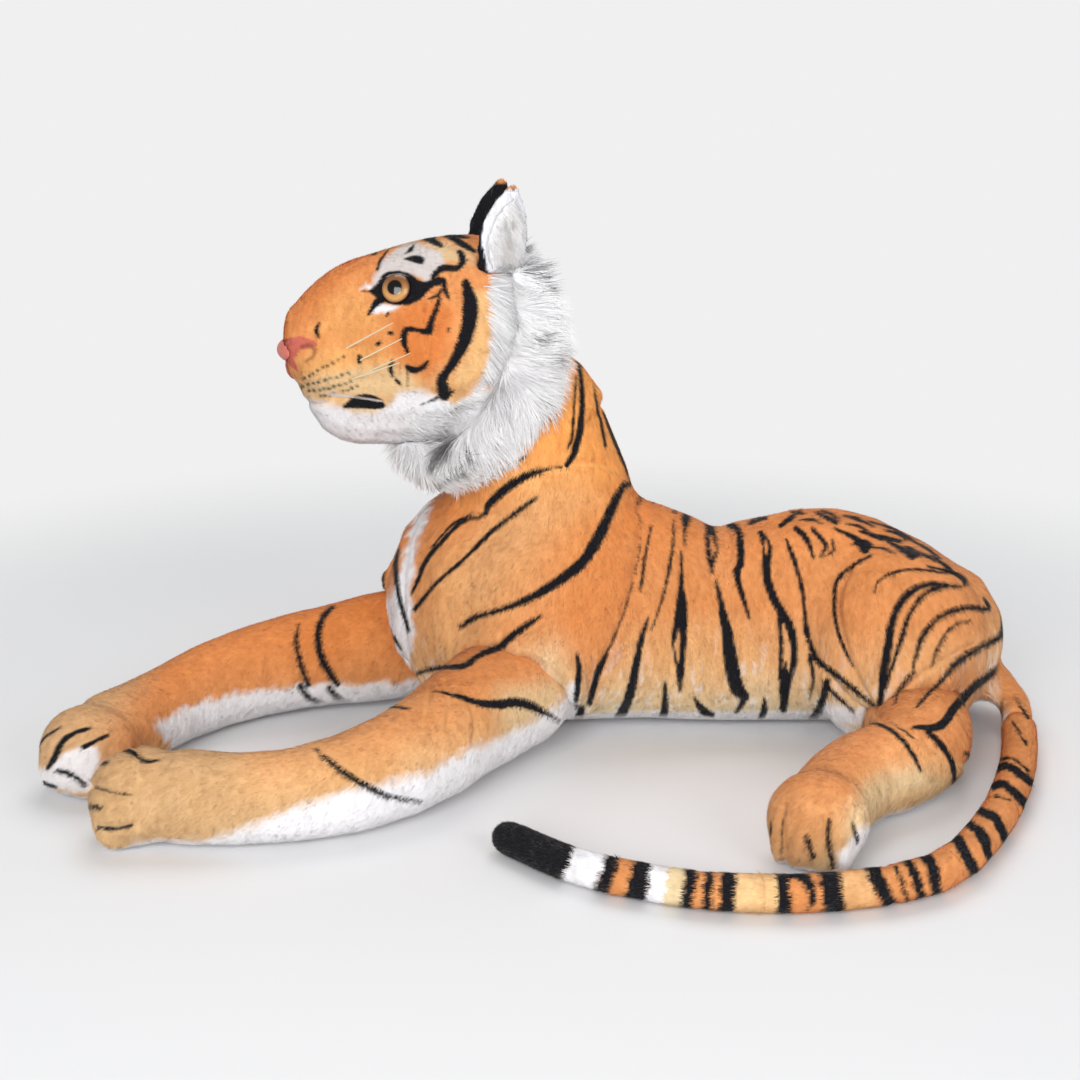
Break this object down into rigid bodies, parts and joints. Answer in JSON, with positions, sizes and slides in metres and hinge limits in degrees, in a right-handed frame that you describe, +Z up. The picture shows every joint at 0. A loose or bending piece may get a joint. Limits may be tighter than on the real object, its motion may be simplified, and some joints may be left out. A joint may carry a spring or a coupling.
{
  "type": "plush tiger",
  "caption": "Large stuffed toy tiger lying with its head raised, on a flat belly, with bending legs, ears and tail.",
  "frame": {"origin": "middle of the bounding box, on the floor that the toy lies on", "axes": "+Z up, +X towards the rump along the spine, -X towards the head, -Y towards the toy's left side"},
  "size_m": [0.9198, 0.7834, 0.5157],
  "materials": {
    "tiger_plush": "short pile",
    "white_plush": "short pile",
    "black_plush": "short pile",
    "paw_plush": "short pile",
    "long_pile": "long pile",
    "nose_velour": "flocked",
    "eye_plastic": "polished",
    "washer_plastic": "moulded",
    "whisker_nylon": "drawn"
  },
  "bodies": {
    "body": {"torso": "tiger_plush", "belly_panel": "white_plush", "neck": "tiger_plush", "left_shoulder": "tiger_plush", "right_shoulder": "tiger_plush", "left_haunch": "tiger_plush", "right_haunch": "tiger_plush", "tail_base": "tiger_plush"},
    "head": {"head": "tiger_plush", "chin": "white_plush", "nose": "nose_velour", "left_eye": "eye_plastic", "right_eye": "eye_plastic", "left_eye_washer": "washer_plastic", "right_eye_washer": "washer_plastic", "left_whisker_pad": "tiger_plush", "right_whisker_pad": "tiger_plush", "left_whisker_1": "whisker_nylon", "left_whisker_2": "whisker_nylon", "left_whisker_3": "whisker_nylon", "left_whisker_4": "whisker_nylon", "right_whisker_1": "whisker_nylon", "right_whisker_2": "whisker_nylon", "right_whisker_3": "whisker_nylon", "right_whisker_4": "whisker_nylon", "left_ruff": "long_pile", "right_ruff": "long_pile"},
    "left_ear": {"left_ear_back": "tiger_plush", "left_ear_lining": "white_plush"},
    "right_ear": {"right_ear_back": "tiger_plush", "right_ear_lining": "white_plush"},
    "left_foreleg": {"left_foreleg": "tiger_plush", "left_forepaw": "paw_plush"},
    "right_foreleg": {"right_foreleg": "tiger_plush", "right_forepaw": "paw_plush"},
    "left_hind_leg": {"left_hind_leg": "tiger_plush", "left_hind_paw": "paw_plush"},
    "right_hind_leg": {"right_hind_leg": "tiger_plush", "right_hind_paw": "paw_plush"},
    "tail_1": {"tail_1": "tiger_plush"},
    "tail_2": {"tail_2": "tiger_plush"},
    "tail_3": {"tail_3": "tiger_plush"},
    "tail_4": {"tail_4": "tiger_plush"},
    "tail_tip": {"tail_tip": "black_plush"}
  },
  "joints": [
    {"name": "head_turn", "type": "hinge", "parent": "body", "child": "head", "pos_m": [-0.0646, 0.0287, 0.336], "axis": [0, 0, 1], "range_deg": [-12, 12], "stiffness_Nm_per_rad": 1.5},
    {"name": "left_ear_flex", "type": "hinge", "parent": "head", "child": "left_ear", "pos_m": [-0.054, -0.0163, 0.444], "axis": [0.8844, 0.4506, -0.1219], "range_deg": [-8, 8], "stiffness_Nm_per_rad": 0.05},
    {"name": "right_ear_flex", "type": "hinge", "parent": "head", "child": "right_ear", "pos_m": [-0.0652, 0.075, 0.444], "axis": [0.9671, -0.2233, -0.1219], "range_deg": [-8, 8], "stiffness_Nm_per_rad": 0.05},
    {"name": "left_foreleg_swing", "type": "hinge", "parent": "body", "child": "left_foreleg", "pos_m": [-0.0404, -0.0653, 0.062], "axis": [0, 0, 1], "range_deg": [0, 6], "stiffness_Nm_per_rad": 4},
    {"name": "right_foreleg_swing", "type": "hinge", "parent": "body", "child": "right_foreleg", "pos_m": [-0.1368, 0.0723, 0.062], "axis": [0, 0, -1], "range_deg": [0, 6], "stiffness_Nm_per_rad": 4},
    {"name": "left_hind_swing", "type": "hinge", "parent": "body", "child": "left_hind_leg", "pos_m": [0.3258, -0.0882, 0.0402], "axis": [0, 0, -1], "range_deg": [0, 6], "stiffness_Nm_per_rad": 3},
    {"name": "right_hind_swing", "type": "hinge", "parent": "body", "child": "right_hind_leg", "pos_m": [0.2828, 0.1456, 0.0402], "axis": [0, 0, 1], "range_deg": [0, 6], "stiffness_Nm_per_rad": 3},
    {"name": "tail_bend_1", "type": "hinge", "parent": "body", "child": "tail_1", "pos_m": [0.4324, -0.0574, 0.0178], "axis": [0, 0, 1], "range_deg": [0, 14], "stiffness_Nm_per_rad": 0.5},
    {"name": "tail_bend_2", "type": "hinge", "parent": "tail_1", "child": "tail_2", "pos_m": [0.3656, -0.2374, 0.0175], "axis": [0, 0, 1], "range_deg": [0, 14], "stiffness_Nm_per_rad": 0.4},
    {"name": "tail_bend_3", "type": "hinge", "parent": "tail_2", "child": "tail_3", "pos_m": [0.2414, -0.3655, 0.0168], "axis": [0, 0, 1], "range_deg": [0, 14], "stiffness_Nm_per_rad": 0.3},
    {"name": "tail_bend_4", "type": "hinge", "parent": "tail_3", "child": "tail_4", "pos_m": [0.1, -0.3703, 0.0162], "axis": [0, 0, 1], "range_deg": [0, 14], "stiffness_Nm_per_rad": 0.2},
    {"name": "tail_bend_5", "type": "hinge", "parent": "tail_4", "child": "tail_tip", "pos_m": [0.0108, -0.3311, 0.0156], "axis": [0, 0, 1], "range_deg": [-14, 14], "stiffness_Nm_per_rad": 0.1}
  ]
}
